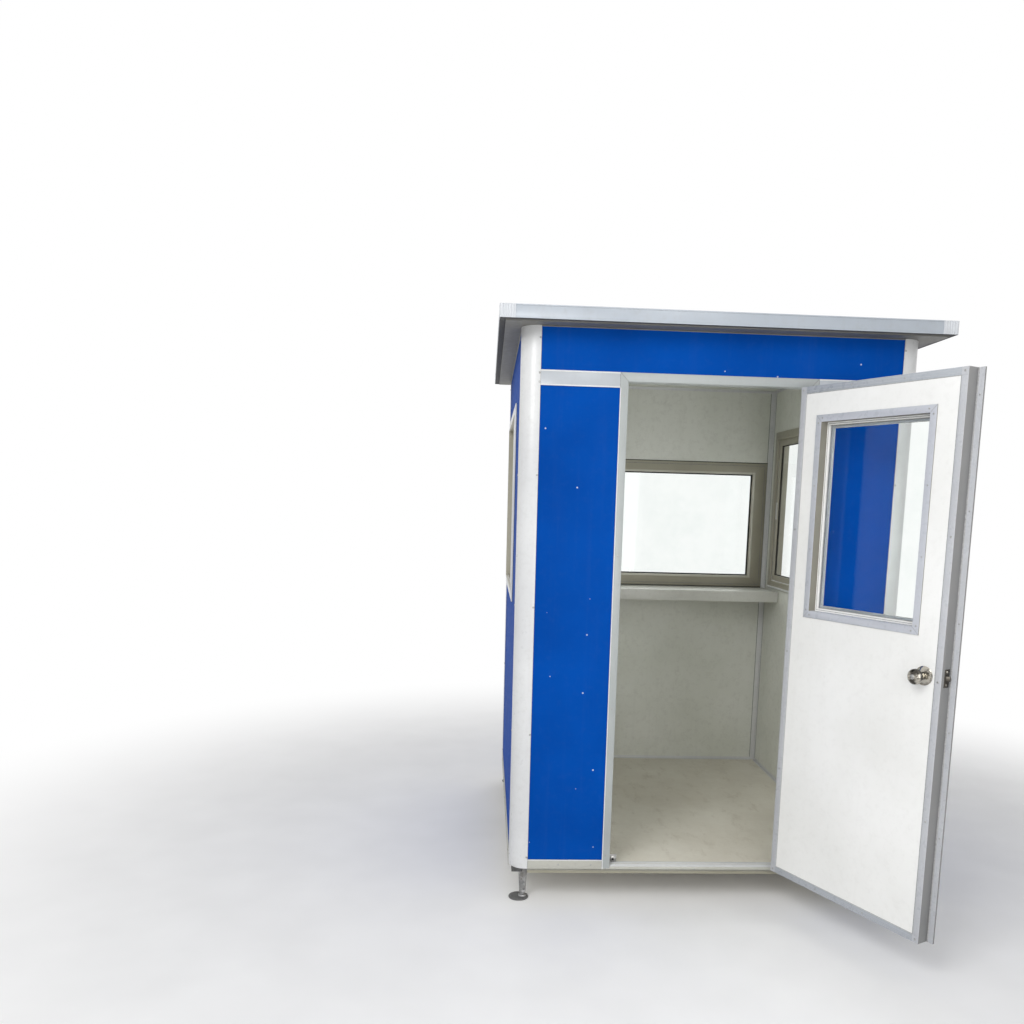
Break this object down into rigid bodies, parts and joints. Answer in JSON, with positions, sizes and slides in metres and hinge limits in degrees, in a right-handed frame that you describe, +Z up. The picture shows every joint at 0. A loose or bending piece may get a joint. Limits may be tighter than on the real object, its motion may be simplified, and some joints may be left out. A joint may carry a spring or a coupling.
{
  "type": "security guard booth",
  "caption": "Small walk-in guard booth of insulated panels in aluminium profiles, with side and rear windows, a counter, a flat overhanging roof and a hinged glazed door.",
  "frame": {"origin": "on the ground, at the middle of the box that holds the booth and its open door", "axes": "+Z up, +Y from the front with the door to the back, +X to the right seen from the front"},
  "size_m": [1.724, 2.4216, 2.343],
  "materials": {
    "blue_panel": "satin coated steel sheet, blue outside and off-white inside",
    "white_panel": "satin coated steel sheet, off-white",
    "white_profile": "satin coated aluminium profile",
    "white_fascia": "satin coated aluminium channel",
    "white_board": "laminated board",
    "floor_board": "pale sheet floor, dusty",
    "glass": "clear",
    "polished_steel": "polished",
    "satin_steel": "satin",
    "galvanised_steel": "galvanised, dull"
  },
  "bodies": {
    "booth": {"post_front_left": "white_profile", "post_front_right": "white_profile", "post_rear_left": "white_profile", "post_rear_right": "white_profile", "feet": "galvanised_steel", "bottom_rail_front": "white_profile", "bottom_rail_rear": "white_profile", "bottom_rail_left": "white_profile", "bottom_rail_right": "white_profile", "threshold": "white_profile", "floor": "floor_board", "front_panel_left": "blue_panel", "front_panel_right": "blue_panel", "header_panel": "blue_panel", "head_rail": "white_profile", "door_jamb_left": "white_profile", "door_jamb_right": "white_profile", "door_head": "white_profile", "strike_plate": "satin_steel", "wall_left": "blue_panel", "wall_right": "blue_panel", "wall_rear": "blue_panel", "rear_window_frame": "white_profile", "rear_window_glass": "glass", "side_window_frame_left": "white_profile", "side_window_frame_right": "white_profile", "side_window_sashes_left": "white_profile", "side_window_sashes_right": "white_profile", "side_window_glass_left": "glass", "side_window_glass_right": "glass", "counter": "white_board", "skirting_trim": "white_profile", "ceiling_trim": "white_profile", "roof_panel": "white_panel", "roof_fascia": "white_fascia", "roof_corner_caps": "white_fascia", "hinges_frame_side": "satin_steel"},
    "door": {"door_leaf": "white_panel", "door_latch_stile": "white_profile", "door_hinge_stile": "white_profile", "door_rails": "white_profile", "door_window_trim": "white_profile", "door_window_glass": "glass", "knob_roses": "polished_steel", "latch_plate": "satin_steel", "hinges_door_side": "satin_steel"},
    "knobs": {"door_knobs": "polished_steel"},
    "latch": {"latch_bolt": "satin_steel"}
  },
  "joints": [
    {"name": "door_hinge", "type": "hinge", "parent": "booth", "child": "door", "pos_m": [0.3395, -0.5652, 0.163], "axis": [0, 0, 1], "range_deg": [-117, 53]},
    {"name": "knob_turn", "type": "hinge", "parent": "door", "child": "knobs", "pos_m": [0.60144, -1.13767, 1.086], "axis": [-0.891, -0.454, 0], "range_deg": [0, 60], "stiffness_Nm_per_rad": 0.3},
    {"name": "latch_slide", "type": "slide", "parent": "door", "child": "latch", "axis": [-0.454, 0.891, 0], "range_m": [0, 0.011]}
  ],
  "couplings": [
    {"joint": "latch_slide", "follows": "knob_turn", "m_per_rad": 0.0105}
  ]
}
